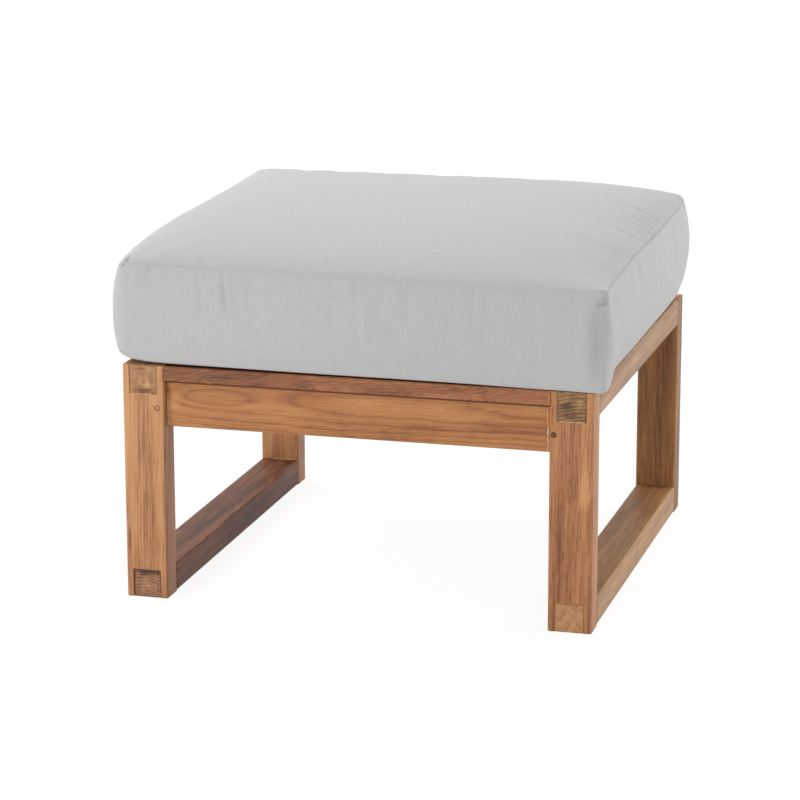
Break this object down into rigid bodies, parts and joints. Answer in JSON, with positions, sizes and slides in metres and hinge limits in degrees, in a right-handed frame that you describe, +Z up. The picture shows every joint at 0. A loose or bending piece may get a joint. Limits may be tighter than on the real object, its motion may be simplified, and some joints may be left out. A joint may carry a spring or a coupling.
{
  "type": "outdoor ottoman footstool",
  "caption": "Low square outdoor footstool: wooden sled frame with two side loops, an apron and a slatted deck, and a loose box cushion with a zipped cover.",
  "frame": {"origin": "on the ground, under the middle of the frame", "axes": "+X to the right seen from the front, +Y from the front to the back, +Z up"},
  "size_m": [0.69, 0.6638, 0.513],
  "materials": {
    "teak_honey": "bare sanded teak, eased arrises",
    "teak_pale": "bare sanded teak, eased arrises",
    "teak_red": "bare sanded teak, eased arrises",
    "teak_peg": "end grain",
    "stainless_screw": "satin",
    "woven_fabric": "plain weave, matte",
    "foam": "open cell foam",
    "zip_tape": "woven tape",
    "zip_metal": "nickel plated"
  },
  "bodies": {
    "frame": {"left_front_post": "teak_honey", "left_rear_post": "teak_honey", "right_front_post": "teak_honey", "right_rear_post": "teak_honey", "left_top_rail": "teak_pale", "left_bottom_rail": "teak_pale", "right_top_rail": "teak_pale", "right_bottom_rail": "teak_pale", "left_front_peg": "teak_peg", "left_rear_peg": "teak_peg", "right_front_peg": "teak_peg", "right_rear_peg": "teak_peg", "front_apron": "teak_honey", "rear_apron": "teak_honey", "front_slat": "teak_red", "rear_slat": "teak_red", "slat_1": "teak_honey", "slat_2": "teak_honey", "slat_3": "teak_honey", "slat_4": "teak_honey", "slat_5": "teak_honey", "slat_6": "teak_honey", "left_cleat": "teak_red", "right_cleat": "teak_red", "left_cleat_screw_1": "stainless_screw", "left_cleat_screw_2": "stainless_screw", "left_cleat_screw_3": "stainless_screw", "right_cleat_screw_1": "stainless_screw", "right_cleat_screw_2": "stainless_screw", "right_cleat_screw_3": "stainless_screw", "front_slat_screw_left": "stainless_screw", "front_slat_screw_middle": "stainless_screw", "front_slat_screw_right": "stainless_screw", "rear_slat_screw_left": "stainless_screw", "rear_slat_screw_middle": "stainless_screw", "rear_slat_screw_right": "stainless_screw", "slat_1_screw_left": "stainless_screw", "slat_1_screw_right": "stainless_screw", "slat_2_screw_left": "stainless_screw", "slat_2_screw_right": "stainless_screw", "slat_3_screw_left": "stainless_screw", "slat_3_screw_right": "stainless_screw", "slat_4_screw_left": "stainless_screw", "slat_4_screw_right": "stainless_screw", "slat_5_screw_left": "stainless_screw", "slat_5_screw_right": "stainless_screw", "slat_6_screw_left": "stainless_screw", "slat_6_screw_right": "stainless_screw"},
    "cushion": {"cushion_cover": "woven_fabric", "cushion_core": "foam", "cover_zip": "zip_tape"},
    "zip_slider": {"zip_slider": "zip_metal"}
  },
  "joints": [
    {"name": "cushion_lift", "type": "slide", "parent": "frame", "child": "cushion", "axis": [0, 0, 1], "range_m": [0, 0.2]},
    {"name": "zip_slide", "type": "slide", "parent": "cushion", "child": "zip_slider", "axis": [1, 0, 0], "range_m": [0, 0.52]}
  ]
}
